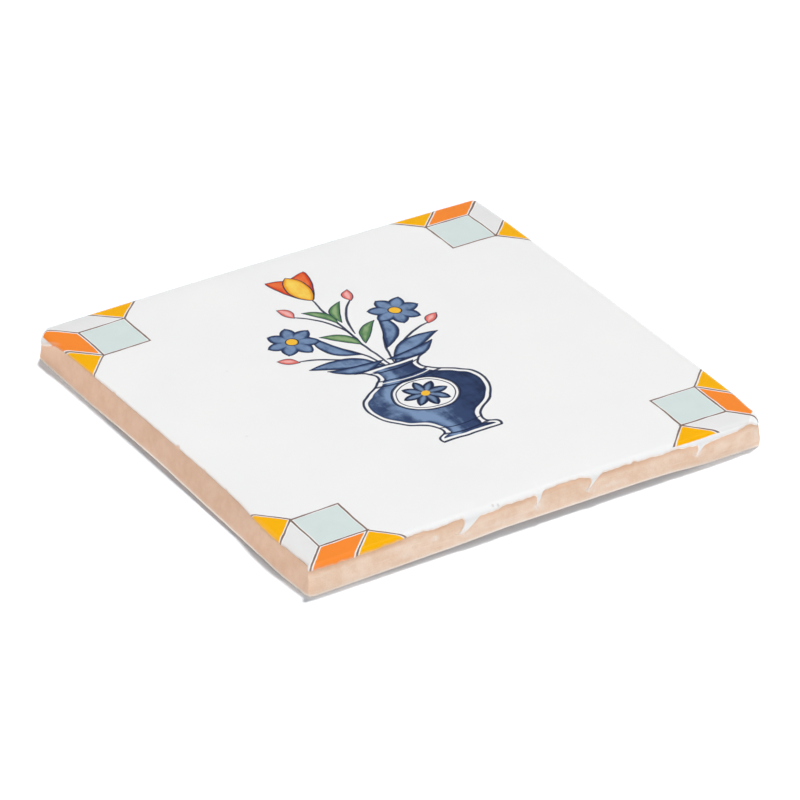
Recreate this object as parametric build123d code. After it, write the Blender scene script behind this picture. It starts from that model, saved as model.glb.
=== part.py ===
"""Square wall tile of tin-glazed earthenware, fired as one piece.

The tile lies on its bare back with the glazed face up. Its frame has the origin in the middle of the
back, +Z out of the glazed face, +X along the foot of the printed picture and +Y towards the picture's
head. All sizes are in millimetres.
"""

import os
from math import hypot

from build123d import *

# Driving dimensions
tile_side = 100.0  # plan size, over the straight sides
tile_thickness = 6.7  # back to the highest point, in the middle of the glazed face
face_crown = 0.8  # fall of the glazed face from its middle to its plan corners
corner_radius = 3.5  # plan corners, rubbed round by hand
glazed_edge_radius = 1.6  # roll of the glazed face into the sides
hollow_rise = 0.9  # how far the lower edge lifts at the middle of each side
hollow_length = 86.0  # length of side over which the lower edge lifts
hollow_run = 8.0  # how far the lifted edge runs in under the back

sides = 4


def crowned_slab():
    """The blank: a square with round corners, under a face that is a small part of a very large ball."""
    blank = extrude(RectangleRounded(tile_side, tile_side, corner_radius), tile_thickness)
    half_diagonal = hypot(tile_side, tile_side) / 2
    ball_radius = (half_diagonal**2 + face_crown**2) / (2 * face_crown)
    ball = Pos(0, 0, tile_thickness - ball_radius) * Rot(0, 90, 0) * Sphere(ball_radius)
    return blank & ball


def hollow():
    """The cutter for one lower edge: a long shallow arch that sinks to nothing as it runs in under the back."""
    half_length = hollow_length / 2
    arch = ThreePointArc((-half_length, 0), (0, hollow_rise), (half_length, 0))
    sill = Polyline((half_length, 0), (half_length, -hollow_rise), (-half_length, -hollow_rise), (-half_length, 0))
    front_side = Plane(origin=(0, -tile_side / 2, 0), x_dir=(1, 0, 0), z_dir=(0, -1, 0))
    arch_face = front_side * make_face(Curve() + [arch, sill])
    sinking = (0, hollow_run, -hollow_rise)
    return extrude(arch_face, hypot(hollow_run, hollow_rise), dir=sinking, both=True)


def tile():
    """The finished tile: the crowned slab, its lifted lower edges and its rolled glazed edge."""
    body = crowned_slab()
    for turn in PolarLocations(0, sides):
        body = body - turn * hollow()
    glazed_face = body.faces().sort_by(Axis.Z)[-1]
    return fillet(glazed_face.edges(), glazed_edge_radius)


os.makedirs("parts", exist_ok=True)
export_step(tile(), "parts/tile.step")
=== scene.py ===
# %% [markdown]
# # A delft tile
# A delft tile is one slab of earthenware. It is fired bare, dipped in a white tin glaze, decorated and
# fired again. This lesson dresses the CAD slab in Blender: first the camera, then the clay and glaze as one
# mesh, then the two finishes, then the floor and the light. The CAD frame is loaded first and never moved.

# %% Open the frame
import math

import bpy
import numpy as np
from mathutils import Euler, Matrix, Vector


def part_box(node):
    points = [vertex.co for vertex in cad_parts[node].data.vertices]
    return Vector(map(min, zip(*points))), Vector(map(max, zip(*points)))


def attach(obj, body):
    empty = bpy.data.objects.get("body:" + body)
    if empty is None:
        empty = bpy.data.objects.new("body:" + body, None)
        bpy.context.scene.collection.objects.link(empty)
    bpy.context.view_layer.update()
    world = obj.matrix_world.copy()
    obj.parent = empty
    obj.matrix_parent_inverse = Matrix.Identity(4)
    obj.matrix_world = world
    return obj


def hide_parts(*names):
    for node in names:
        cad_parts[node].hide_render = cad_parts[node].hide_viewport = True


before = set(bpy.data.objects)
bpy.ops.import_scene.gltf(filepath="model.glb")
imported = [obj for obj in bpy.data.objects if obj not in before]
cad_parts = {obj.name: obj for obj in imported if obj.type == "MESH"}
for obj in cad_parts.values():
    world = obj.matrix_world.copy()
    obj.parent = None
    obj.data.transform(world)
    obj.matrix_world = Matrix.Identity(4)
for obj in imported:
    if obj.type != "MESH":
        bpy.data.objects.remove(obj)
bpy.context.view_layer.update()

# %% [markdown]
# ## The camera
# The tile was seen from far off through a long lens, so its edges stay nearly parallel. A short lens close
# by would fit the frame as well, but it would spread the near corner. The eye, the point it looks at and a
# quarter of a degree of tilt were worked out from the tile's four printed corners.

# %% Set up the camera
MM = 0.001
eye = Vector((-433.1, -689.6, 490.4)) * MM
aim = Vector((0.46, -0.80, 0.0)) * MM
camera = bpy.data.objects.new("camera", bpy.data.cameras.new("camera"))
bpy.context.collection.objects.link(camera)
camera.data.lens = 227.3
camera.data.sensor_width = 36
camera.data.clip_end = 20
camera.location = eye
tilt = Euler((0, 0, math.radians(0.247))).to_quaternion()
camera.rotation_mode = "QUATERNION"
camera.rotation_quaternion = (aim - eye).to_track_quat("-Z", "Y") @ tilt
bpy.context.scene.camera = camera
print("camera distance, mm", round((aim - eye).length / MM))

# %% [markdown]
# ## The slab's own sizes
# The mesh stands in for the CAD slab, so it takes its plan and height from the frame and repeats the few
# sizes that shape the edges. Everything below is worked out in millimetres and made metres at the end.

# %% Read the slab
slab_low, slab_high = (np.array(corner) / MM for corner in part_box("tile"))
half = float(slab_high[0])
thick = float(slab_high[2])
roll = 1.6  # roll of the glazed edge
crown = 0.8  # fall of the face from its middle to its corners
lift_run = 8.0  # how far a lifted lower edge runs in under the back
coat = 0.22  # thickness of the glaze
arris = 0.14  # lower edge, rubbed down by hand
print("slab", 2 * half, "by", round(thick, 2))

# %% [markdown]
# ## A walk round the edge
# All that makes this tile look hand made happens along its rim: the glaze stops short on one side, runs
# over on the next and drips. A rim like that could be sculpted, but a walk round it is easier to steer.
# Each step of the walk is one column of vertices, and columns stand closer where glaze has run down.
# The corners were rubbed flat, so a step lies on a side, on a corner's flat, or on the soft turn between them.

# %% Place the columns
drips = [  # start from the front corner, length, width and lean of each run of glaze on the front side
    (35.2, 2.6, 1.9, -2.8),
    (49.9, 2.6, 0.8, -1.3),
    (61.9, 2.3, 0.75, -2.2),
    (85.3, 1.9, 0.75, -1.5),
]


def spread(count, close):
    """That many places from 0 up to 1, packed closer round the given ones."""
    fine = np.linspace(0, 1, 4001)
    packed = 1 + sum(3 * np.exp(-(((fine - place) / 0.018) ** 2)) for place in close) + 0 * fine
    run = np.concatenate([[0], np.cumsum(packed[1:] + packed[:-1])])
    return np.interp(np.arange(count) / count * run[-1], run, fine)


SIDE, TURN_IN, FLAT, TURN_OUT = range(4)
steps = []
for side in range(4):
    close = [(start - 3.0) / 94.0 for start, *_ in drips] if side == 0 else []
    steps += [(side, SIDE, share) for share in spread(560 if side == 0 else 320, close)]
    for kind, count in ((TURN_IN, 7), (FLAT, 6), (TURN_OUT, 7)):
        steps += [(side, kind, share) for share in np.arange(count) / count]
step_side, step_kind, step_share = np.array(steps).T
step_side = step_side.astype(int)
way_along = np.array([(1, 0), (0, 1), (-1, 0), (0, -1)])[step_side]
way_out = np.array([(0, -1), (1, 0), (0, 1), (-1, 0)])[step_side]
columns = len(steps)
print("columns round the rim", columns)

# %% [markdown]
# A ring is the tile's outline drawn some way in from the sides. At each corner it cuts off so much of the one
# side and so much of the next: more at the foot of the tile, where a corner takes its knocks, than at the
# face. The cuts get smaller as a ring moves in, but never vanish, so that no two columns cross.

# %% Draw rings
face_cuts = np.array([(2.5, 2.5), (1.1, 1.1), (2.2, 2.2), (0.9, 0.9)])  # right, back, left and front corner
foot_cuts = np.array([(1.7, 2.1), (1.5, 1.5), (1.5, 1.8), (1.0, 1.1)])
soft_turns = np.array([0.6, 1.3, 1.2, 1.2])


def corner_cut(corner, inset, low):
    """What a corner takes off both sides, the flat's lean, its length, and the soft turns at its two ends."""
    cuts = face_cuts[corner] + low[:, None] * (foot_cuts[corner] - face_cuts[corner])
    mean = cuts.mean(axis=1)
    first, second = (cuts * (np.maximum(mean - 0.586 * inset, 0.3) / mean)[:, None]).T
    lean, length = np.arctan2(second, first), np.hypot(first, second)
    bends = np.tan(lean / 2), np.tan(math.pi / 4 - lean / 2)
    radius = np.minimum(soft_turns[corner], 0.8 * length / (bends[0] + bends[1]))
    return first, second, lean, length, radius, radius * bends[0], radius * bends[1]


def ring(inset, low=0.0, every=1):
    """Plan of a ring that lies inset millimetres in from the sides, between face (low 0) and foot (low 1)."""
    inset, low = np.broadcast_to(inset, columns), np.broadcast_to(low, columns)
    reach = half - inset
    first, second, lean, length, radius, turn_in, turn_out = corner_cut(step_side, inset, low)
    _, last_cut, _, _, _, _, last_turn = corner_cut(step_side - 1, inset, low)
    side_from, side_to = last_cut + last_turn - reach, reach - first - turn_in
    angle = np.where(step_kind == TURN_IN, step_share * lean, lean + step_share * (math.pi / 2 - lean))
    on_flat = (turn_in + step_share * (length - turn_in - turn_out)) / length
    along = np.choose(
        step_kind.astype(int),
        [
            side_from + step_share * (side_to - side_from),
            side_to + radius * np.sin(angle),
            reach - first * (1 - on_flat),
            reach - radius * (1 - np.sin(angle)),
        ],
    )
    out = np.choose(
        step_kind.astype(int),
        [reach, reach - radius * (1 - np.cos(angle)), reach - second * on_flat, reach - second - turn_out + radius * np.cos(angle)],
    )
    return (way_along * along[:, None] + way_out * out[:, None])[::every]


first, second, lean, length, radius, turn_in, turn_out = corner_cut(step_side, np.zeros(columns), np.zeros(columns))
step_angle = np.choose(step_kind.astype(int), [0 * lean, step_share * lean, lean, lean + step_share * (math.pi / 2 - lean)])
outward = np.cos(step_angle)[:, None] * way_out + np.sin(step_angle)[:, None] * way_along
walk = 100 * step_side + half + (ring(0) * way_along).sum(axis=1)
past = (step_kind > SIDE) * (np.choose(step_kind.astype(int), [0, 0, step_share, 1]) * second)
past += (step_kind == TURN_OUT) * step_share * turn_out
walk = walk + past
print("walk runs from", round(walk.min(), 2), "to", round(walk.max(), 2), "and never turns back:", bool((np.diff(walk) > 0).all()))


# %% Let a line wander
def wander(waves, seed):
    """An uneven line round the tile, from about -1 to 1, made of the given numbers of waves."""
    chance = np.random.default_rng(seed)
    phases = chance.uniform(0, 2 * math.pi, len(waves))
    return sum(np.sin(2 * math.pi * n * walk / 400 + p) for n, p in zip(waves, phases)) / math.sqrt(len(waves))


print("outer ring spans", np.ptp(ring(0), axis=0).round(2), "and an inner one", np.ptp(ring(45), axis=0).round(2))

# %% [markdown]
# ## The face
# The glazed face is not flat. It is crowned like a cushion, its shoulders fall a little before the edge, and
# the glaze settled in waves a few hundredths of a millimetre high, which only show in its shine.


# %% Shape the face
def face_height(plan):
    """Height of the glazed face over a plan of points."""
    x, y = plan[:, 0], plan[:, 1]
    from_edge = half - np.maximum(np.abs(x), np.abs(y))
    shoulder = 0.15 * np.clip(1 - from_edge / 7, 0, None) ** 2
    waves = 0.02 * np.sin(x / 11 + 0.4) * np.cos(y / 13 - 0.7) + 0.012 * np.sin((x + y) / 7.5 + 1.1)
    bowl = crown * (x**2 + y**2) / (2 * half**2)
    return thick - 0.032 - bowl - shoulder + waves * np.clip(from_edge / 8, 0, 1)


print("height of the middle", face_height(np.zeros((1, 2))), "and of a corner", face_height(np.array([[46.0, 46.0]])))

# %% [markdown]
# ## Where the glaze stops
# The glaze line is measured along the roll of the edge, from the face downwards. On the left side it was
# wiped clean and stops high, in a crisp line with small nicks. On the front side it ran over, ragged, with
# four drips. It wraps the right corner like a cap and thins out over the left one. The two far sides can't
# be seen and are taken as something in between.

# %% Draw the glaze line
turn_stops = [1, 5, 10, 18, 20, 22.5, 25, 28, 30, 32, 34, 36, 38, 40, 42, 45, 48.5, 50.5, 53.5, 56, 58.6, 60, 62.6, 64, 66.5]
turn_of_glaze = [43, 48, 49, 47, 43, 38, 38, 47, 44, 36, 42, 52, 62, 58, 48, 50, 45, 32, 32, 30, 34, 41, 53, 47, 44]
turn_stops += [69, 71.5, 74, 76, 78, 80.5, 82.5, 84, 88, 90.5, 92.5, 94, 95.5, 97, 98.3, 99.5, 102, 106]
turn_of_glaze += [46, 48, 48, 60, 50, 53, 62, 68, 74, 66, 62, 56, 43, 45, 72, 88, 92, 62]
turn_stops += [120, 150, 180, 199, 202, 230, 260, 290, 295, 298, 303.3, 305, 306.7, 308, 311, 320, 350, 380, 397, 399]
turn_of_glaze += [55, 50, 58, 66, 60, 52, 58, 60, 84, 104, 104, 74, 44, 38, 33, 30, 28, 30, 30, 34]
roll = roll + np.interp(walk, [103, 111, 190, 199], [0, -0.4, -0.4, 0])  # the right side was rolled less
glaze_line = roll * np.radians(np.interp(walk, turn_stops, turn_of_glaze, period=400))
rag_stops, rag = [0, 4, 60, 68, 82, 88, 98, 104, 150, 290, 298, 306, 396], [0.4, 1, 1, 1.6, 1.5, 1, 0.8, 0.6, 0.7, 0.6, 0.5, 0.34, 0.34]
ragged = np.interp(walk, rag_stops, rag, period=400)
glaze_line += ragged * (0.05 * wander([61, 78, 95], 3) + 0.05 * wander([140, 171, 203, 236, 290], 4))
glaze_line = np.maximum(glaze_line, 0.66)
base_line = glaze_line.copy()
for start, length, width, lean in drips:
    glaze_line += length / (1 + (np.abs(walk - start) / (width / 2)) ** (1 + 1.7 * width))
for place, depth, width in [(351.9, 0.3, 0.5), (328.5, 0.12, 0.5), (361.5, 0.12, 0.4), (369.5, 0.14, 0.5), (384.5, 0.08, 0.4)]:
    glaze_line -= depth * np.exp(-(((walk - place) / width) ** 4))
glaze_line = np.maximum(glaze_line, 0.5)
print("glaze ends", round(glaze_line.min(), 2), "to", round(glaze_line.max(), 2), "mm down the roll")

# %% [markdown]
# ## The edge in section
# Cut through the rim and the clay shows a roll, then a side. On the front the side is upright. On the left
# the upper half was trimmed back, so the side leans in and meets the glaze in a firm edge. The lower edges
# lift in the middle of each side, as clay does when it dries.


# %% Shape the section
lift_stops = [0, 8, 20, 30, 36, 42, 52, 60, 72, 78, 82, 87, 107, 122, 150, 178, 193, 207, 222, 250, 278, 293]
lifts = [0, 0.05, 0.3, 0.45, 0.65, 0.9, 0.9, 0.82, 0.8, 0.6, 0.3, 0, 0, 0.5, 0.9, 0.5, 0, 0, 0.5, 0.9, 0.5, 0]
lift_stops += [322, 327, 333, 339, 345, 351, 357, 363, 368, 374, 380, 386, 392, 396]
lifts += [0, 0.25, 0.55, 0.7, 0.88, 0.86, 0.74, 0.67, 0.64, 0.5, 0.45, 0.35, 0.18, 0.04]
lifted = np.interp(walk, lift_stops, lifts, period=400)


def low_edge(inset):
    """Height of the back near the sides, where it lifts in the middle of each side."""
    return np.clip(lifted - 0.9 * inset / lift_run, 0, None)


trim_stops = [1, 4, 50, 96, 101, 105, 110, 196, 204, 296, 302, 308, 320, 340, 352, 363, 375, 378, 381, 384, 387, 389.4, 391.8, 394.5, 397.5, 399]
trims = [0.3, 0.15, 0.2, 0.1, 0.1, 0.32, 0.05, 0.05, 0.1, 0.1, 0.15, 0.2, 0.45, 0.8, 0.9, 1.08, 1.0, 0.65, 0.38, 0.24, 0.22, 0.35, 0.6, 0.72, 1.0, 1.1]
trim = np.interp(walk, trim_stops, trims, period=400)
firm = np.radians(np.interp(walk, [1, 5, 95, 295, 302, 309, 394, 398.5], [66, 80, 80, 80, 78, 40, 38, 42], period=400))
roll_end = (roll - coat) * firm
foot_inset = 0.055 + 0.02 * wander([9, 14, 23, 31], 7)
foot_inset += np.interp(walk, [389, 391.3, 393.5, 395.7, 398, 399.5, 402], [0, 0.05, 0.2, 0.45, 0.62, 0.55, 0], period=400)
foot_height = low_edge(0) + arris


def section(down):
    """Plan and height of the clay at some way down the roll and side, for each column."""
    turned = np.minimum(down, roll_end) / (roll - coat)
    inset = trim + roll - (roll - coat) * np.sin(turned)
    height = face_height(ring(inset)) - roll + (roll - coat) * np.cos(turned)
    end_inset = trim + roll - (roll - coat) * np.sin(firm)
    end_height = face_height(ring(end_inset)) - roll + (roll - coat) * np.cos(firm)
    share = np.clip((down - roll_end) / np.hypot(end_height - foot_height, end_inset - foot_inset), 0, 1)
    inset = inset + share * (foot_inset - end_inset)
    height = height + share * (foot_height - end_height)
    return np.column_stack([ring(inset, share), height])


end_inset = trim + roll - (roll - coat) * np.sin(firm)
end_height = face_height(ring(end_inset)) - roll + (roll - coat) * np.cos(firm)
foot_line = roll_end + np.hypot(end_height - foot_height, end_inset - foot_inset)
print("side is", round(foot_line.min(), 2), "to", round(foot_line.max(), 2), "mm from face to foot")

# %% [markdown]
# ## Rows down the side
# Rows of vertices now follow the glaze line, so that the glaze ends on a row of edges all the way round and
# gets a real lip there. Rows above the line are glaze and stand proud by the coat's thickness, which
# rounds off to nothing at the line. Rows below are bare biscuit, and get the clay's own unevenness.

# %% Lay the rows
above = [("face", share) for share in (0, 0.2, 0.4, 0.6, 0.8, 1.0)] + [("lip", gap) for gap in (0.36, 0.24, 0.14, 0.06, 0.0)]
below = [("bare", gap) for gap in (0.07, 0.18, 0.36, 0.62)] + [("side", share) for share in np.linspace(0.1, 1, 10)]
downs = []
for kind, amount in above + below:
    if kind == "face":
        downs.append((glaze_line - 0.44) * amount)
    elif kind == "lip":
        downs.append(glaze_line - amount)
    elif kind == "bare":
        downs.append(glaze_line + amount)
    else:
        downs.append(glaze_line + 0.62 + (foot_line - glaze_line - 0.62) * amount)
downs = np.array(downs)
clay = np.array([section(down) for down in downs])
print("rows from face to foot", len(downs))

# %% Let the drips lean
slide = np.zeros_like(downs)
for start, length, width, lean in drips:
    near = np.exp(-(((walk - start) / max(1.8 * width, 1.5 * abs(lean))) ** 2))
    run = np.clip((downs - base_line) / length, 0, 1) ** 1.3
    slide += lean * near * run * np.exp(-np.clip(downs - base_line - length, 0, None) / 1.2)
clay[:, :, :2] += slide[:, :, None] * way_along

# %% Raise the glaze and roughen the clay
across = np.roll(clay, -1, axis=1) - np.roll(clay, 1, axis=1)
facing = np.cross(across, np.gradient(clay, axis=0))
facing /= -np.linalg.norm(facing, axis=2, keepdims=True)
facing *= np.sign(facing[0, :, 2].mean())
glaze_depth = glaze_line - downs
swell = coat * np.sqrt(1 - np.clip(1 - glaze_depth / 0.36, 0, 1) ** 2)
rough = 0.022 * wander([61, 83, 117, 150, 181], 11) * np.cos(2.1 * downs + wander([11, 17, 29], 12))
rough += 0.014 * wander([260, 311, 377, 420], 13) * np.cos(4.3 * downs + 2 * wander([19, 43], 14))
rough *= np.clip(-glaze_depth / 0.4, 0, 1) * np.clip((foot_line - downs) / 0.8, 0, 1)
rim = clay + facing * np.where(glaze_depth >= 0, swell, np.minimum(rough, 0.02))[:, :, None]
print("lip stands", round(float(swell.max()), 2), "mm proud")

# %% [markdown]
# ## The back and the middle of the face
# Away from the rim the tile is plain, so the rings thin out: every few steps a ring keeps only every second
# column, and five-sided faces join the two. The last small ring closes on a single point.

# %% Turn the lower edge and lay the rings
rings = []  # plan and height of each ring from the middle of the face to the middle of the back, and its depth of glaze
for inset, every in [(44, 8), (38, 8), (32, 8), (26, 8), (20, 8), (14.5, 8), (10, 8), (6.6, 4), (4.6, 2)]:
    plan = ring(inset, 0.0, every)
    rings.append((np.column_stack([plan, face_height(plan)]), 4.0 + 0 * plan[:, 0]))
rings += [(rim[row], glaze_depth[row]) for row in range(len(downs))]
for turn in np.radians([30, 60, 90]):
    plan = ring(foot_inset + arris * (1 - math.cos(turn)), 1.0)
    rings.append((np.column_stack([plan, foot_height - arris * math.sin(turn)]), glaze_depth[-1] - turn))
for inset in (0.9, 2, 3.6, 5.6, 8.2):
    plan = ring(inset, 1.0)
    rings.append((np.column_stack([plan, low_edge(inset)]), -8.0 + 0 * walk))
for inset, every in [(9.6, 2), (12, 4), (16, 8), (22, 8), (28, 8), (34, 8), (40, 8), (45, 8)]:
    plan = ring(inset, 1.0, every)
    rings.append((np.column_stack([plan, 0 * plan[:, 0]]), -8.0 + 0 * plan[:, 0]))
print("rings", len(rings), "with", sum(len(r) for r, _ in rings), "vertices")

# %% Join the rings
points = [np.array([[0, 0, face_height(np.zeros((1, 2)))[0]]])] + [r for r, _ in rings] + [np.zeros((1, 3))]
depth = np.concatenate([[4.0]] + [d for _, d in rings] + [[-8.0]])
starts = np.cumsum([0] + [len(p) for p in points])
faces = [(0, starts[1] + i, starts[1] + (i + 1) % len(points[1])) for i in range(len(points[1]))]
for upper in range(1, len(points) - 2):
    n, m, a, b = len(points[upper]), len(points[upper + 1]), starts[upper], starts[upper + 1]
    for i in range(min(n, m)):
        if n == m:
            faces.append((a + i, b + i, b + (i + 1) % m, a + (i + 1) % n))
        elif n < m:
            faces.append((a + i, b + 2 * i, b + 2 * i + 1, b + (2 * i + 2) % m, a + (i + 1) % n))
        else:
            faces.append((a + 2 * i, b + i, b + (i + 1) % m, a + (2 * i + 2) % n, a + 2 * i + 1))
last = starts[-3]
faces += [(last + (i + 1) % len(points[-2]), last + i, starts[-2]) for i in range(len(points[-2]))]
points = np.concatenate(points)
print("faces", len(faces))

# %% [markdown]
# The mesh is one closed skin, like the fired tile itself. Faces above the glaze line take the glaze, the
# rest the bare biscuit, and the line itself is kept as a sharp edge so that the lip stays crisp.

# %% Make the tile
tile_mesh = bpy.data.meshes.new("glazed_tile")
tile_mesh.from_pydata((points * MM).tolist(), [], faces)
tile_mesh.shade_smooth()
lip_ring = range(starts[1 + 9 + len(above) - 1], starts[1 + 9 + len(above)])
bare = [max(depth[list(f)]) <= 1e-9 or min(depth[list(f)]) < -1e-9 for f in faces]
tile_mesh.polygons.foreach_set("material_index", np.array(bare, int))
on_lip = np.zeros(len(points), bool)
on_lip[list(lip_ring)] = True
ends = np.array([e.vertices[:] for e in tile_mesh.edges])
sharp = tile_mesh.attributes.new("sharp_edge", "BOOLEAN", "EDGE")
sharp.data.foreach_set("value", on_lip[ends].all(axis=1))
tile = bpy.data.objects.new("glazed_tile", tile_mesh)
bpy.context.collection.objects.link(tile)
print("triangles", sum(len(f) - 2 for f in faces), "sharp edges", int(on_lip[ends].all(axis=1).sum()))

# %% [markdown]
# Each vertex also remembers how deep it lies inside the glaze, how thin the glaze is there, and how much
# spilt glaze has dried on the clay round it. The two finishes read these later.

# %% Note what each point knows
full = [columns // len(r) for r, _ in rings]
where = np.concatenate([[50.0]] + [walk[::every] for every in full] + [[50.0]])
thin = np.interp(where, [1, 4, 288, 297, 300, 305, 308, 396], [0.25, 0, 0, 0.5, 0.9, 0.9, 0, 0.1], period=400)
chalk = np.interp(where, [0, 3, 97, 102, 290, 298, 303, 397], [0.7, 1, 1, 0.8, 0.5, 0.4, 0, 0.2], period=400)
under_tile = np.clip((half - np.abs(points[:, :2]).max(axis=1)) / lift_run, 0, 1) * (depth <= -8)
chalk = chalk + under_tile * (0.6 - chalk)
spots = [(start, base + length, 0.9, 0.75, 0.9) for start, length, width, lean in drips for base in np.interp([start], walk, base_line)]
spots += [(27.2, 3.1, 0.8, 0.5, 0.9), (20.5, 4.6, 1.2, 0.5, 0.4), (41.5, 4.3, 3.0, 0.5, 0.35), (66.0, 4.1, 2.4, 0.5, 0.35), (97.5, 3.2, 1.0, 1.2, 0.4)]
spill = sum(much * np.exp(-(((walk - at) / wide) ** 2) - ((downs - deep) / tall) ** 2) for at, deep, wide, tall, much in spots)
run_out = sum(np.exp(-(((walk - start) / width) ** 2)) * np.clip((downs - base_line - 0.3 * length) / length, 0, 1) for start, length, width, _ in drips)
# painted highlight: a pale band along the rubbed lower edge, strongest at the foot line
rubbed_edge_highlight = np.exp(-(((downs - foot_line) / 0.3) ** 2))
rim_rows = slice(starts[10], starts[10 + len(downs)])


def on_rim(values, elsewhere=0.0):
    """Values known on the rim's rows, spread to all points."""
    known_here = np.full(len(points), elsewhere)
    known_here[rim_rows] = values.ravel()
    return known_here


thin = np.maximum(thin, on_rim(0.9 * run_out))
notes = {"glaze_depth": depth, "thin": thin, "chalk": chalk, "spill": on_rim(np.clip(spill, 0, 1)), "rubbed_edge_highlight": on_rim(rubbed_edge_highlight)}
for name, values in notes.items():
    tile_mesh.attributes.new(name, "FLOAT", "POINT").data.foreach_set("value", values.astype(np.float32))
print("noted on", len(tile_mesh.vertices), "points")

# %% [markdown]
# ## A flat pattern of the skin
# The finishes are drawn by nodes and need no flat pattern, but a copy of the tile with painted images does.
# The sides fold out from the face like the flaps of a box, which keeps the print large and in one piece.
# The plain back is laid in the strip that is left over.

# %% Fold the skin flat
flat = [np.zeros((1, 2))] + [r[:, :2] for r, _ in rings[:9]]
flat += [ring(trim + roll) + outward * down[:, None] for down in downs]
flat += [flat[-1] + outward * 0.13 * k for k in (1, 2, 3)]
net = np.concatenate(flat)
net_span = np.abs(net).max()
under = points[:, :2] / half
on_back = np.zeros(len(points), bool)
on_back[len(net) :] = True
net_uv = 0.004 + 0.852 * (net / net_span + 1) / 2
back_uv = np.column_stack([0.004 + 0.992 * (under[:, 0] + 1) / 2, 0.866 + 0.13 * (under[:, 1] + 1) / 2])
layer = tile_mesh.uv_layers.new(name="OFBake")
uv = np.zeros((len(tile_mesh.loops), 2))
for face in tile_mesh.polygons:
    loops, corners = np.array(face.loop_indices), np.array(face.vertices)
    uv[loops] = back_uv[corners] if on_back[corners].any() else net_uv[corners]
layer.data.foreach_set("uv", uv.ravel())
print("flat pattern holds", round(0.852 * 1024 / (2 * net_span), 1), "pixels to the millimetre on a 1024 image")

# %% [markdown]
# ## Helpers for drawing with nodes
# The print is drawn by its edges. For each shape the nodes work out how far a point lies outside its edge,
# in millimetres, with less than nothing meaning inside. A fill is where that is below zero and an outline is
# where it is close to zero. An image would hold a fixed number of pixels; this stays sharp at any distance.


# %% Small tools for nodes
def feed(tree, socket, value):
    """Wires another node's output into a socket, or sets a plain value on it."""
    if isinstance(value, bpy.types.NodeSocket):
        tree.links.new(value, socket)
    else:
        socket.default_value = value


def calc(tree, operation, *values):
    """One sum."""
    node = tree.nodes.new("ShaderNodeMath")
    node.operation = operation
    for socket, value in zip(node.inputs, values):
        feed(tree, socket, value)
    return node.outputs[0]


def largest(tree, *values):
    """The largest of several edges, which is the edge of what they all share."""
    top = values[0]
    for value in values[1:]:
        top = calc(tree, "MAXIMUM", top, value)
    return top


def fade(tree, value, low, high, at_low=1.0, at_high=0.0):
    """A soft step between two values."""
    node = tree.nodes.new("ShaderNodeMapRange")
    node.interpolation_type = "SMOOTHSTEP"
    for name, amount in (("Value", value), ("From Min", low), ("From Max", high), ("To Min", at_low), ("To Max", at_high)):
        feed(tree, node.inputs[name], amount)
    return node.outputs[0]


def lay(tree, under, over, share):
    """Lays one colour over another."""
    node = tree.nodes.new("ShaderNodeMix")
    node.data_type = "RGBA"
    for socket, value in ((node.inputs[0], share), (node.inputs[6], under), (node.inputs[7], over)):
        feed(tree, socket, value)
    return node.outputs[2]


# %% Tools for cloudy texture and colour
def paint(red, green, blue):
    """A colour as a paint chip reads, from 0 to 255, made ready for a shader."""
    chip = np.array([red, green, blue]) / 255
    light = np.where(chip <= 0.04045, chip / 12.92, ((chip + 0.055) / 1.055) ** 2.4)
    return (*light.tolist(), 1.0)


def clouds(tree, place, size, detail=3.0, rough=0.5, output="Fac"):
    """Soft noise whose blotches are about that many millimetres across."""
    node = tree.nodes.new("ShaderNodeTexNoise")
    feed(tree, node.inputs["Vector"], place)
    node.inputs["Scale"].default_value = 1 / size
    node.inputs["Detail"].default_value = detail
    node.inputs["Roughness"].default_value = rough
    return node.outputs[output]


def vector(tree, operation, a, b=None, scale=None):
    """One sum on a place."""
    node = tree.nodes.new("ShaderNodeVectorMath")
    node.operation = operation
    feed(tree, node.inputs[0], a)
    if b is not None:
        feed(tree, node.inputs[1], b)
    if scale is not None:
        feed(tree, node.inputs["Scale"], scale)
    return node.outputs[0]


def distance(tree, place, point):
    """How far a place lies from a point of the plan."""
    node = tree.nodes.new("ShaderNodeVectorMath")
    node.operation = "DISTANCE"
    feed(tree, node.inputs[0], place)
    node.inputs[1].default_value = (*point, 0.0)
    return node.outputs["Value"]


def new_finish(name):
    """A fresh material with its tree, its shader and places on the tile in millimetres."""
    made = bpy.data.materials.new(name)
    made.use_nodes = True
    tree = made.node_tree
    place = tree.nodes.new("ShaderNodeTexCoord").outputs["Object"]
    return made, tree, tree.nodes["Principled BSDF"], vector(tree, "SCALE", place, scale=1000.0)


# %% [markdown]
# ## The white glaze
# Tin glaze is an opaque, slightly cool white with a soft gloss. It is never one even white: it pools and
# thins in clouds, and where it is thin at the edges the clay warms it. The print lies in the glaze, so it
# shares its gloss.

# %% Start the glaze
glaze, ink, glaze_shader, spot = new_finish("tin_glaze")
wobble = vector(ink, "SUBTRACT", clouds(ink, spot, 7, 2.0, output="Color"), (0.5, 0.5, 0.5))
hand = vector(ink, "ADD", spot, vector(ink, "SCALE", wobble, scale=0.5))
white = lay(ink, paint(240, 240, 241), paint(246, 246, 245), clouds(ink, spot, 16, 4.0))
print("glaze nodes so far", len(ink.nodes))

# %% [markdown]
# ## The corner stars
# Where four such tiles meet, their corners make an eight-pointed star, one of the oldest tile patterns.
# Each corner holds a quarter of it: two lozenges, a square between them and two half squares. The pattern
# turns by a quarter from corner to corner, so two distances from the star's middle, one along each side, are
# enough to draw all four at once.

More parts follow.
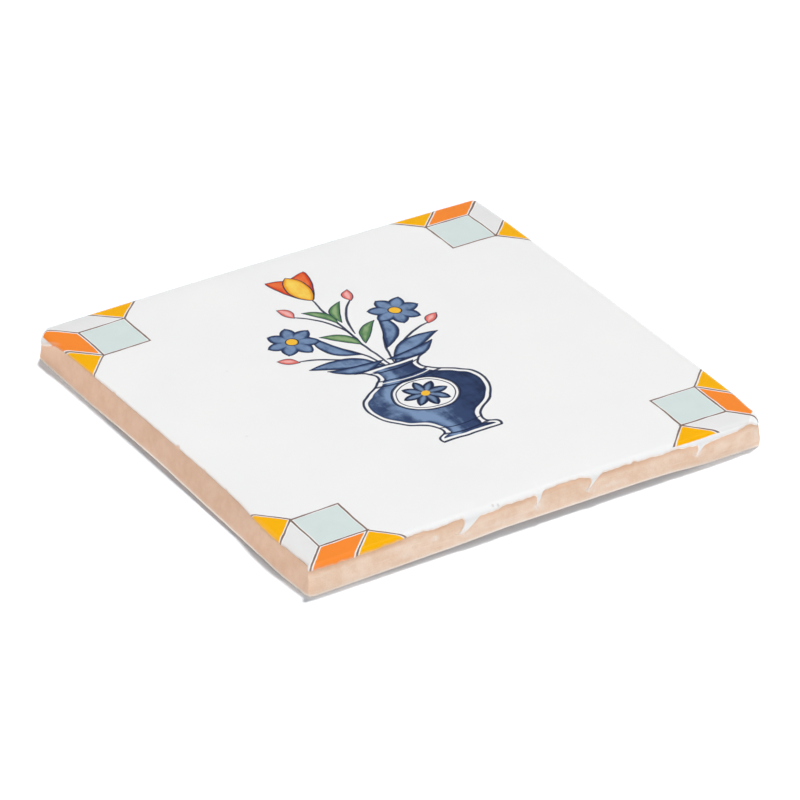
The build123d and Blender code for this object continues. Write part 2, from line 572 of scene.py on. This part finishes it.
# %% Fold the four corners into one
star = 10.0  # side of the star's squares and lozenges
star_apart = 102.2 / 2  # from the tile's middle to the star's middle, just off the tile
slant = math.sqrt(0.5)
print_shift = vector(ink, "SUBTRACT", hand, (0.3, -0.3, 0.0))
axes = ink.nodes.new("ShaderNodeSeparateXYZ")
ink.links.new(print_shift, axes.inputs[0])
x_in = calc(ink, "SUBTRACT", star_apart, calc(ink, "ABSOLUTE", axes.outputs[0]))
y_in = calc(ink, "SUBTRACT", star_apart, calc(ink, "ABSOLUTE", axes.outputs[1]))
swap = calc(ink, "LESS_THAN", calc(ink, "MULTIPLY", axes.outputs[0], axes.outputs[1]), 0.0)
shift = calc(ink, "MULTIPLY", swap, calc(ink, "SUBTRACT", y_in, x_in))
ahead = calc(ink, "ADD", x_in, shift)
behind = calc(ink, "SUBTRACT", y_in, shift)
print("star points reach", round(star * (1 + math.sqrt(2)), 1), "mm along the side")


# %% Find the edges of each shape
def slanted(tree, a, b, beyond):
    """Edge of a line at 45 degrees: how far a + b lies past a value."""
    return calc(tree, "MULTIPLY", calc(tree, "SUBTRACT", calc(tree, "ADD", a, b), beyond), slant)


lag = calc(ink, "MULTIPLY", ahead, -1.0)
lead = calc(ink, "MULTIPLY", behind, -1.0)
outer = slanted(ink, ahead, behind, star * (1 + 2 * slant))
slip = distance(ink, vector(ink, "MULTIPLY", spot, (1.0, 1.0, 0.0)), (-50.0, -34.0))
outer = calc(ink, "SUBTRACT", outer, fade(ink, slip, 2.0, 9.0, 0.55, 0.0))
shapes = {
    "orange": largest(ink, calc(ink, "SUBTRACT", behind, slant * star), slanted(ink, lag, behind, 0.0), slanted(ink, ahead, lead, star)),
    "pale": largest(ink, calc(ink, "SUBTRACT", ahead, slant * star), slanted(ink, ahead, lead, 0.0), slanted(ink, lag, behind, star)),
    "yellow": largest(ink, slanted(ink, lag, behind, -star), outer),
    "gold": largest(ink, slanted(ink, ahead, lead, -star), outer),
}
middle = star * (slant + 0.5)
from_middle = [calc(ink, "ABSOLUTE", calc(ink, "SUBTRACT", side, middle)) for side in (ahead, behind)]
shapes["mint"] = calc(ink, "SUBTRACT", largest(ink, *from_middle), star / 2)
print("corner shapes", list(shapes))

# %% [markdown]
# The colours were laid inside the outlines with a sliver of white left between, and not always in the same
# place, so each fill is drawn a little smaller than its shape. One thin brown line then runs round them all.
# The print came on a sheet a little smaller than the tile, so past the sheet's edge the glaze is white.

# %% Fill and outline the stars
sheet = ink.nodes.new("ShaderNodeSeparateXYZ")
laid_askew = ink.nodes.new("ShaderNodeVectorRotate")
laid_askew.rotation_type = "Z_AXIS"
laid_askew.inputs["Angle"].default_value = math.radians(-0.3)
ink.links.new(hand, laid_askew.inputs["Vector"])
ink.links.new(vector(ink, "SUBTRACT", laid_askew.outputs[0], (0.2, -0.1, 0.0)), sheet.inputs[0])
sheet_edge = largest(ink, *(calc(ink, "SUBTRACT", calc(ink, "ABSOLUTE", sheet.outputs[n]), 49.45) for n in (0, 1)))
off_x, off_y = (calc(ink, "ABSOLUTE", calc(ink, "ADD", sheet.outputs[n], off)) for n, off in ((0, 0.5), (1, -0.5)))
snip = calc(ink, "SUBTRACT", 98.6, calc(ink, "MULTIPLY", swap, 2.5))  # only the right and left corners are snipped
fill_edge = largest(ink, sheet_edge, slanted(ink, off_x, off_y, snip))
fills = {"orange": (254, 143, 52), "pale": (236, 236, 236), "yellow": (254, 184, 0), "gold": (254, 184, 0), "mint": (217, 230, 228)}
margins = {"orange": 0.4, "pale": 0.4, "yellow": 0.37, "gold": 0.37, "mint": 0.34}
uneven = calc(ink, "MULTIPLY", calc(ink, "SUBTRACT", clouds(ink, spot, 2.5), 0.5), 0.35)
shade = clouds(ink, spot, 4, 4.0)
decor = white
for name, colour in fills.items():
    edge = calc(ink, "ADD", calc(ink, "ADD", shapes[name], margins[name]), uneven)
    edge = largest(ink, edge, fill_edge)
    deep = paint(*[0.965 * c for c in colour])
    decor = lay(ink, decor, lay(ink, deep, paint(*colour), shade), fade(ink, edge, -0.08, 0.08))
nearest = None
for edge in shapes.values():
    gap = calc(ink, "ABSOLUTE", edge)
    nearest = gap if nearest is None else calc(ink, "MINIMUM", nearest, gap)
pressure = fade(ink, clouds(ink, spot, 5), 0.3, 0.7, 0.13, 0.22)
line_edge = largest(ink, calc(ink, "SUBTRACT", nearest, pressure), sheet_edge)
decor = lay(ink, decor, paint(114, 82, 66), fade(ink, line_edge, -0.06, 0.06, 0.92, 0.0))
print("glaze nodes so far", len(ink.nodes))

# %% [markdown]
# ## The brush
# The picture in the middle is built as a tile painter builds it, from single strokes of a loaded brush. A
# stroke starts at its foot, runs for a length, swells to a width and may bend on the way. One node group
# holds that shape; every leaf, stem and petal below is one use of it.

# %% Make the brush
brush = bpy.data.node_groups.new("brush_stroke", "ShaderNodeTree")
for name in ("Place", "Foot"):
    brush.interface.new_socket(name, in_out="INPUT", socket_type="NodeSocketVector")
for name in ("Angle", "Length", "Width", "Bend", "Fullness"):
    brush.interface.new_socket(name, in_out="INPUT", socket_type="NodeSocketFloat")
for name in ("Edge", "Along"):
    brush.interface.new_socket(name, in_out="OUTPUT", socket_type="NodeSocketFloat")
asked, given = brush.nodes.new("NodeGroupInput"), brush.nodes.new("NodeGroupOutput")
turned = brush.nodes.new("ShaderNodeVectorRotate")
turned.rotation_type = "Z_AXIS"
brush.links.new(asked.outputs["Place"], turned.inputs["Vector"])
brush.links.new(asked.outputs["Foot"], turned.inputs["Center"])
feed(brush, turned.inputs["Angle"], calc(brush, "MULTIPLY", asked.outputs["Angle"], -1.0))
apart = brush.nodes.new("ShaderNodeSeparateXYZ")
brush.links.new(vector(brush, "SUBTRACT", turned.outputs[0], asked.outputs["Foot"]), apart.inputs[0])
part = calc(brush, "DIVIDE", apart.outputs[0], asked.outputs["Length"])
swell_of = calc(brush, "MULTIPLY", calc(brush, "MULTIPLY", part, calc(brush, "SUBTRACT", 1.0, part)), 4.0)
swell_of = calc(brush, "MAXIMUM", swell_of, 0.0)
aside = calc(brush, "SUBTRACT", apart.outputs[1], calc(brush, "MULTIPLY", swell_of, asked.outputs["Bend"]))
breadth = calc(brush, "MULTIPLY", calc(brush, "POWER", swell_of, asked.outputs["Fullness"]), asked.outputs["Width"])
past_end = calc(brush, "SUBTRACT", calc(brush, "ABSOLUTE", calc(brush, "SUBTRACT", part, 0.5)), 0.5)
past_end = calc(brush, "MULTIPLY", past_end, asked.outputs["Length"])
flank = calc(brush, "SUBTRACT", calc(brush, "ABSOLUTE", aside), breadth)
brush.links.new(calc(brush, "MAXIMUM", flank, past_end), given.inputs["Edge"])
brush.links.new(part, given.inputs["Along"])
print("one stroke takes", len(brush.nodes), "nodes")


# %% Use the brush
def stroke_edge(place, foot, angle, length, width, bend=0.0, fullness=1.0):
    """Edge of one stroke, and how far along it a point lies."""
    node = ink.nodes.new("ShaderNodeGroup")
    node.node_tree = brush
    ink.links.new(place, node.inputs["Place"])
    node.inputs["Foot"].default_value = (*foot, 0.0)
    for name, value in (("Angle", math.radians(angle)), ("Length", length), ("Width", width), ("Bend", bend), ("Fullness", fullness)):
        node.inputs[name].default_value = value
    return node.outputs["Edge"], node.outputs["Along"]


loose = vector(ink, "ADD", spot, vector(ink, "SCALE", wobble, scale=1.1))
level = ink.nodes.new("ShaderNodeSeparateXYZ")
ink.links.new(loose, level.inputs[0])
paired = ink.nodes.new("ShaderNodeCombineXYZ")
ink.links.new(calc(ink, "ABSOLUTE", level.outputs[0]), paired.inputs[0])
ink.links.new(level.outputs[1], paired.inputs[1])
flat_place = ink.nodes.new("ShaderNodeCombineXYZ")
ink.links.new(level.outputs[0], flat_place.inputs[0])
ink.links.new(level.outputs[1], flat_place.inputs[1])
both, single = paired.outputs[0], flat_place.outputs[0]

# %% [markdown]
# ## Cobalt washes
# Cobalt goes on as a watery wash. It pools darker along the edge of a stroke and leaves pale streaks where
# the brush ran dry. The picture uses three strengths of one indigo blue, a little green, and small touches
# of warm colour.

# %% Mix the washes
navy, blue, sky = paint(32, 42, 72), paint(52, 70, 108), paint(124, 150, 186)
wet = clouds(ink, loose, 3.2, 5.0, 0.62)
streaks = clouds(ink, vector(ink, "MULTIPLY", loose, (1.0, 0.22, 1.0)), 0.9, 2.0)
grain = calc(ink, "ADD", calc(ink, "MULTIPLY", wet, 0.75), calc(ink, "MULTIPLY", streaks, 0.25))


def wash(under, edge, thin_colour, deep_colour, strength=1.0, outline=0.16):
    """A watery fill with pooled edges, and a fine dark outline if one is asked for."""
    pool = fade(ink, edge, -0.9, -0.05, 0.0, 0.45)
    depth_of = fade(ink, calc(ink, "ADD", grain, pool), 0.34, 0.86, 0.0, 1.0)
    tone = lay(ink, thin_colour, deep_colour, depth_of)
    laid = lay(ink, under, tone, fade(ink, edge, -0.1, 0.06, strength, 0.0))
    if not outline:
        return laid
    rim_line = calc(ink, "SUBTRACT", calc(ink, "ABSOLUTE", edge), outline)
    return lay(ink, laid, navy, fade(ink, rim_line, -0.05, 0.06, 0.95, 0.0))


print("glaze nodes so far", len(ink.nodes))

# %% [markdown]
# ## The flower vase
# A vase of flowers is the delft painters' stock picture. Most of it is the same on both sides, so those
# strokes are drawn once in a folded plan; the wobble of the hand is not folded, which keeps the two sides
# from matching exactly. Leaves and stems come first, then blooms, then the vase in front of them.

# %% Paint leaves and stems
green, moss = paint(150, 178, 130), paint(84, 128, 84)
stems = [(both, (0.6, 0), 59, 22.5, 2.4), (single, (0, 0), 90, 31, 0.5), (both, (0.3, 15), 62, 13.5, 1.2), (both, (5.4, 6.6), 28, 10.5, 0.9)]
for place, foot, angle, length, bend in stems:
    edge, along = stroke_edge(place, foot, angle, length, 0.26, bend, 0.25)
    decor = lay(ink, decor, navy, fade(ink, edge, -0.05, 0.07, 0.95, 0.0))
for foot, angle, length, width, bend in [((0.8, 1), 27, 15, 1.8, 1.9), ((2.8, 7.5), 66, 12, 1.5, -1.5), ((0.5, 4), 9, 11, 1.3, -1.6)]:
    edge, along = stroke_edge(both, foot, angle, length, width, bend)
    decor = wash(decor, edge, sky, blue)
for foot, angle, length, width, bend in [((0.4, 11), 48, 8.5, 1.15, 1.0), ((0.4, 20), 62, 8, 1.0, 1.1)]:
    edge, along = stroke_edge(both, foot, angle, length, width, bend)
    decor = wash(decor, edge, green, moss, outline=0.12)
print("glaze nodes so far", len(ink.nodes))


# %% [markdown]
# A rosette repeats one petal round a middle. Folding the angle does that with a single stroke.


# %% Paint the side blooms
def rosette_edge(place, at, petals, length, width):
    """Edge of a ring of petals."""
    arm = vector(ink, "SUBTRACT", place, (*at, 0.0))
    split = ink.nodes.new("ShaderNodeSeparateXYZ")
    ink.links.new(arm, split.inputs[0])
    angle = calc(ink, "ARCTAN2", split.outputs[1], split.outputs[0])
    fold = 2 * math.pi / petals
    folded = calc(ink, "SUBTRACT", angle, calc(ink, "MULTIPLY", calc(ink, "ROUND", calc(ink, "DIVIDE", angle, fold)), fold))
    reach = distance(ink, arm, (0.0, 0.0))
    petal = ink.nodes.new("ShaderNodeCombineXYZ")
    ink.links.new(calc(ink, "MULTIPLY", reach, calc(ink, "COSINE", folded)), petal.inputs[0])
    ink.links.new(calc(ink, "MULTIPLY", reach, calc(ink, "SINE", folded)), petal.inputs[1])
    edge, along = stroke_edge(petal.outputs[0], (0.0, 0.0), 0, length, width, 0.0, 0.7)
    return edge, reach


edge, reach = rosette_edge(both, (11.4, 18.6), 7, 5.2, 1.55)
decor = wash(decor, edge, sky, blue)
for radius, colour in ((1.35, navy), (1.1, paint(246, 190, 60))):
    decor = lay(ink, decor, colour, fade(ink, reach, radius - 0.08, radius + 0.08))
for foot, angle, length, width, bend in [((6.3, 26.3), 70, 4.6, 1.1, 0.4), ((14.3, 11.2), 36, 4.2, 1.0, 0.3)]:
    edge, along = stroke_edge(both, foot, angle, length, width, bend)
    decor = wash(decor, edge, paint(244, 190, 186), paint(226, 112, 104), outline=0.12)
print("glaze nodes so far", len(ink.nodes))

# %% Paint the tulip
for angle, bend, colour, deep in [(112, -1.5, (236, 120, 66), (214, 66, 34)), (68, 1.5, (236, 120, 66), (214, 66, 34)), (90, 0, (250, 214, 96), (238, 160, 36))]:
    edge, along = stroke_edge(single, (0.0, 30.2), angle, 11.5 if angle != 90 else 10.4, 2.6 if angle != 90 else 2.4, bend, 0.8)
    decor = wash(decor, edge, paint(*colour), paint(*deep), outline=0.14)
print("glaze nodes so far", len(ink.nodes))

# %% [markdown]
# The vase's outline is a profile, as on a potter's wheel: a curve gives the half width for each height. The
# slope of the profile is worked out too, so that the outline keeps the same breadth where the wall leans.

# %% Turn the vase
vase_low, vase_tall, vase_wide = -27.0, 29.0, 12.6
profile = [(0, 0.5), (0.035, 0.52), (0.1, 0.36), (0.15, 0.36), (0.32, 0.76), (0.5, 0.98), (0.6, 0.99), (0.72, 0.8), (0.83, 0.46), (0.9, 0.37), (0.95, 0.42), (1.0, 0.56)]
rise = calc(ink, "DIVIDE", calc(ink, "SUBTRACT", level.outputs[1], vase_low), vase_tall)


def half_width(at):
    """Half width of the vase at a height from 0 to 1."""
    node = ink.nodes.new("ShaderNodeFloatCurve")
    curve = node.mapping.curves[0]
    for x, y in profile[1:-1]:
        curve.points.new(x, y)
    curve.points[0].location, curve.points[-1].location = profile[0], profile[-1]
    node.mapping.update()
    ink.links.new(at, node.inputs["Value"])
    return calc(ink, "MULTIPLY", node.outputs[0], vase_wide)


wall = half_width(rise)
slope = calc(ink, "SUBTRACT", half_width(calc(ink, "ADD", rise, 0.012)), half_width(calc(ink, "SUBTRACT", rise, 0.012)))
slope = calc(ink, "DIVIDE", slope, 0.024 * vase_tall)
lean_of = calc(ink, "SQRT", calc(ink, "ADD", calc(ink, "MULTIPLY", slope, slope), 1.0))
off_wall = calc(ink, "DIVIDE", calc(ink, "SUBTRACT", calc(ink, "ABSOLUTE", level.outputs[0]), wall), lean_of)
off_ends = calc(ink, "MULTIPLY", calc(ink, "SUBTRACT", calc(ink, "ABSOLUTE", calc(ink, "SUBTRACT", rise, 0.5)), 0.5), vase_tall)
vase_edge = largest(ink, off_wall, off_ends)
print("vase", vase_tall, "mm tall and", 2 * vase_wide, "mm wide")

# %% Wash the vase
around = calc(ink, "DIVIDE", level.outputs[0], calc(ink, "MAXIMUM", wall, 1.0))
shadow_side = fade(ink, around, -0.2, 0.95, 0.0, 0.34)
gleam = fade(ink, calc(ink, "ABSOLUTE", calc(ink, "ADD", around, 0.45)), 0.03, 0.3, -0.3, 0.0)
pool = fade(ink, vase_edge, -1.6, -0.1, 0.0, 0.4)
deepness = calc(ink, "ADD", calc(ink, "ADD", grain, shadow_side), calc(ink, "ADD", gleam, pool))
tone = lay(ink, sky, blue, fade(ink, deepness, 0.2, 0.6, 0.0, 1.0))
tone = lay(ink, tone, navy, fade(ink, deepness, 0.62, 1.0, 0.0, 0.9))
decor = lay(ink, decor, white, fade(ink, vase_edge, -0.1, 0.06, 1.0, 0.0))
decor = lay(ink, decor, tone, fade(ink, calc(ink, "ADD", vase_edge, 0.85), -0.1, 0.06, 1.0, 0.0))
print("glaze nodes so far", len(ink.nodes))

# %% [markdown]
# On the belly a round field is left white and holds a flower, and bands go round the shoulder, neck and foot. Bands
# on a round pot look curved from above, so they sag towards the middle.

# %% Decorate the vase
belly = vector(ink, "SUBTRACT", single, (0.0, -10.6, 0.0))
belly = vector(ink, "MULTIPLY", belly, (1.0, 1.12, 1.0))
field = calc(ink, "SUBTRACT", distance(ink, belly, (0.0, 0.0)), 6.6)
decor = lay(ink, decor, white, fade(ink, field, -0.06, 0.08))
for gap, width in ((0.0, 0.26), (-0.85, 0.12)):
    ring_line = calc(ink, "SUBTRACT", calc(ink, "ABSOLUTE", calc(ink, "SUBTRACT", field, gap)), width)
    decor = lay(ink, decor, navy, fade(ink, ring_line, -0.05, 0.07, 0.95, 0.0))
edge, reach = rosette_edge(single, (0.0, -10.6), 8, 4.7, 1.05)
decor = wash(decor, edge, sky, navy, outline=0.12)
decor = lay(ink, decor, paint(246, 190, 60), fade(ink, reach, 0.85, 1.0))
sagging = calc(ink, "ADD", rise, calc(ink, "MULTIPLY", calc(ink, "MULTIPLY", around, around), -0.028))
for height, width, colour in [(0.055, 0.22, navy), (0.13, 0.16, navy), (0.76, 0.2, navy), (0.79, 0.12, white), (0.815, 0.2, navy), (0.93, 0.22, navy)]:
    band = calc(ink, "MULTIPLY", calc(ink, "ABSOLUTE", calc(ink, "SUBTRACT", sagging, height)), vase_tall)
    band = largest(ink, calc(ink, "SUBTRACT", band, width), vase_edge)
    decor = lay(ink, decor, colour, fade(ink, band, -0.06, 0.08, 0.9, 0.0))
vase_line = calc(ink, "SUBTRACT", calc(ink, "ABSOLUTE", vase_edge), 0.24)
decor = lay(ink, decor, navy, fade(ink, vase_line, -0.06, 0.08, 0.97, 0.0))
print("glaze nodes so far", len(ink.nodes))

# %% [markdown]
# ## Firing the glaze
# Last, the glaze itself: thin edges are warmed by the clay under them, the gloss is a little uneven, and the
# skin has the faint dimples of a fired glaze.

# %% Finish the glaze
clay_colour = paint(236, 203, 178)


def known(tree, name):
    """A value that each point of the tile carries."""
    node = tree.nodes.new("ShaderNodeAttribute")
    node.attribute_name = name
    return node.outputs["Fac"]


for *pit, share in ((-10.1, -49.0, 0.28), (-9.1, -49.22, 0.28), (-36.0, -6.0, 0.12), (-27.3, 16.0, 0.08)):
    bare_spot = fade(ink, distance(ink, vector(ink, "MULTIPLY", spot, (1.0, 1.0, 0.0)), pit), 0.08, 0.42, share, 0.0)
    decor = lay(ink, decor, paint(146, 128, 122), bare_spot)
at_lip = fade(ink, known(ink, "glaze_depth"), 0.0, 0.45, 0.35, 0.0)
over_edge = fade(ink, known(ink, "glaze_depth"), 0.5, 1.2, 1.0, 0.0)
show_clay = calc(ink, "MAXIMUM", at_lip, calc(ink, "MULTIPLY", calc(ink, "MULTIPLY", known(ink, "thin"), over_edge), 0.6))
feed(ink, glaze_shader.inputs["Base Color"], lay(ink, decor, clay_colour, show_clay))
feed(ink, glaze_shader.inputs["Roughness"], fade(ink, clouds(ink, spot, 6, 4.0), 0.3, 0.7, 0.16, 0.26))
glaze_shader.inputs["Specular IOR Level"].default_value = 0.3
dimples = ink.nodes.new("ShaderNodeBump")
dimples.inputs["Strength"].default_value = 0.12
dimples.inputs["Distance"].default_value = 0.00004
ink.links.new(clouds(ink, spot, 1.6, 3.0), dimples.inputs["Height"])
ink.links.new(dimples.outputs[0], glaze_shader.inputs["Normal"])
print("glaze nodes in all", len(ink.nodes))

# %% [markdown]
# ## The bare biscuit
# Biscuit is fired clay without glaze: matt, pinkish buff, chalky to the touch. It is warmer close to the
# glaze, where the flux soaked in, and right under the glaze lip that band is also painted darker as the
# lip's shade. It is streaked along the side by the knife, speckled with grog and smeared white where glaze
# was spilt and wiped away.

# %% Mix the biscuit
biscuit, clay_tree, clay_shader, clay_spot = new_finish("bare_biscuit")
cloudy = fade(clay_tree, clouds(clay_tree, clay_spot, 3.4, 6.0, 0.68), 0.3, 0.7, 0.0, 1.0)
warm = lay(clay_tree, paint(233, 191, 162), paint(241, 203, 177), cloudy)
pale = lay(clay_tree, paint(232, 198, 171), paint(242, 218, 198), cloudy)
body = lay(clay_tree, warm, pale, known(clay_tree, "chalk"))
knife = clouds(clay_tree, vector(clay_tree, "MULTIPLY", clay_spot, (0.12, 0.12, 1.0)), 0.7, 4.0, 0.6)
streaky = calc(clay_tree, "MULTIPLY", fade(clay_tree, knife, 0.5, 0.72, 0.0, 0.6), known(clay_tree, "chalk"))
body = lay(clay_tree, body, paint(244, 222, 204), streaky)
# partly flux soaked into the clay, partly painted shade under the glaze lip: a warmer, darker band just below the glaze
flux_soak_and_lip_shade = fade(clay_tree, known(clay_tree, "glaze_depth"), -1.3, -0.15, 0.0, 0.55)
body = lay(clay_tree, body, paint(232, 186, 152), calc(clay_tree, "MULTIPLY", flux_soak_and_lip_shade, known(clay_tree, "chalk")))
haze = fade(clay_tree, clouds(clay_tree, clay_spot, 0.9, 4.0, 0.6), 0.3, 0.6, 0.35, 0.9)
smear = calc(clay_tree, "MULTIPLY", known(clay_tree, "spill"), haze)
body = lay(clay_tree, body, paint(247, 240, 234), smear)
# painted highlight: the rubbed lower edge is laid paler than the rest of the biscuit
body = lay(clay_tree, body, paint(255, 247, 238), calc(clay_tree, "MULTIPLY", known(clay_tree, "rubbed_edge_highlight"), 0.95))
print("biscuit nodes so far", len(clay_tree.nodes))

# %% Add grog, pores and grain
grog = clay_tree.nodes.new("ShaderNodeTexVoronoi")
grog.inputs["Scale"].default_value = 1.1
clay_tree.links.new(clay_spot, grog.inputs["Vector"])
speck = fade(clay_tree, grog.outputs["Distance"], 0.06, 0.13, 0.22, 0.0)
body = lay(clay_tree, body, paint(205, 160, 130), speck)
feed(clay_tree, clay_shader.inputs["Base Color"], body)
feed(clay_tree, clay_shader.inputs["Roughness"], fade(clay_tree, smear, 0.0, 0.8, 0.92, 0.55))
clay_shader.inputs["Specular IOR Level"].default_value = 0.2
grit = calc(clay_tree, "ADD", clouds(clay_tree, clay_spot, 0.35, 5.0, 0.65), calc(clay_tree, "MULTIPLY", speck, -0.6))
tooth = clay_tree.nodes.new("ShaderNodeBump")
tooth.inputs["Strength"].default_value = 0.5
tooth.inputs["Distance"].default_value = 0.0001
clay_tree.links.new(grit, tooth.inputs["Height"])
clay_tree.links.new(tooth.outputs[0], clay_shader.inputs["Normal"])
print("biscuit nodes in all", len(clay_tree.nodes))

# %% Put the finishes on the tile
for finish in (glaze, biscuit):
    tile_mesh.materials.append(finish)
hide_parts("tile")
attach(tile, "root")

# %% [markdown]
# ## Floor and light
# The tile lies on a white table in even studio light. The main lamp stands behind, so that a narrow shadow
# falls towards the viewer along the two near sides. Two low lamps in front light those sides, the front one
# more than the left. The table is white, and a trace of glow that only the eye and mirrors see keeps it
# white to the edge of the frame.

# %% Lay the table
floor_mesh = bpy.data.meshes.new("table")
floor_mesh.from_pydata([(-4, -4, 0), (4, -4, 0), (4, 4, 0), (-4, 4, 0)], [], [(0, 1, 2, 3)])
floor = bpy.data.objects.new("table", floor_mesh)
bpy.context.collection.objects.link(floor)
table_top = bpy.data.materials.new("white_table")
table_top.use_nodes = True
top_tree = table_top.node_tree
top_shader = top_tree.nodes["Principled BSDF"]
top_shader.inputs["Base Color"].default_value = (0.95, 0.97, 1.0, 1.0)
top_shader.inputs["Roughness"].default_value = 0.9
top_shader.inputs["Specular IOR Level"].default_value = 0.0
top_shader.inputs["Emission Color"].default_value = (0.6, 0.82, 1.0, 1.0)
rays = top_tree.nodes.new("ShaderNodeLightPath")
seen = largest(top_tree, *(rays.outputs[name] for name in ("Is Camera Ray", "Is Glossy Ray", "Is Transmission Ray")))
feed(top_tree, top_shader.inputs["Emission Strength"], calc(top_tree, "MULTIPLY", seen, 0.12))
floor_mesh.materials.append(table_top)

# %% Light the room
room = bpy.data.worlds.new("white_room")
bpy.context.scene.world = room
room.use_nodes = True
air = room.node_tree
glow = air.nodes["Background"]
glow.inputs["Color"].default_value = (1.0, 1.0, 1.0, 1.0)
glow.inputs["Strength"].default_value = 0.16


def lamp(name, strength, softness, towards, mirrored=False):
    """A soft, far lamp that shines from the given direction, and shows in the gloss only if it is mirrored."""
    made = bpy.data.objects.new(name, bpy.data.lights.new(name, "SUN"))
    made.data.energy = strength
    made.data.angle = math.radians(softness)
    made.rotation_mode = "QUATERNION"
    made.rotation_quaternion = Vector(towards).to_track_quat("Z", "Y")
    made.visible_glossy = mirrored
    bpy.context.collection.objects.link(made)
    return made


lamp("back_lamp", 2.61, 8, (0.36, 0.285, 1.0))
lamp("front_lamp", 1.34, 24, (0.12, -0.98, 0.12))
lamp("left_lamp", 1.25, 24, (-0.98, -0.12, 0.12))
lamp("soft_box", 0.07, 24, (0.37, 0.29, 0.88), mirrored=True)
bpy.context.scene.view_settings.view_transform = "Standard"
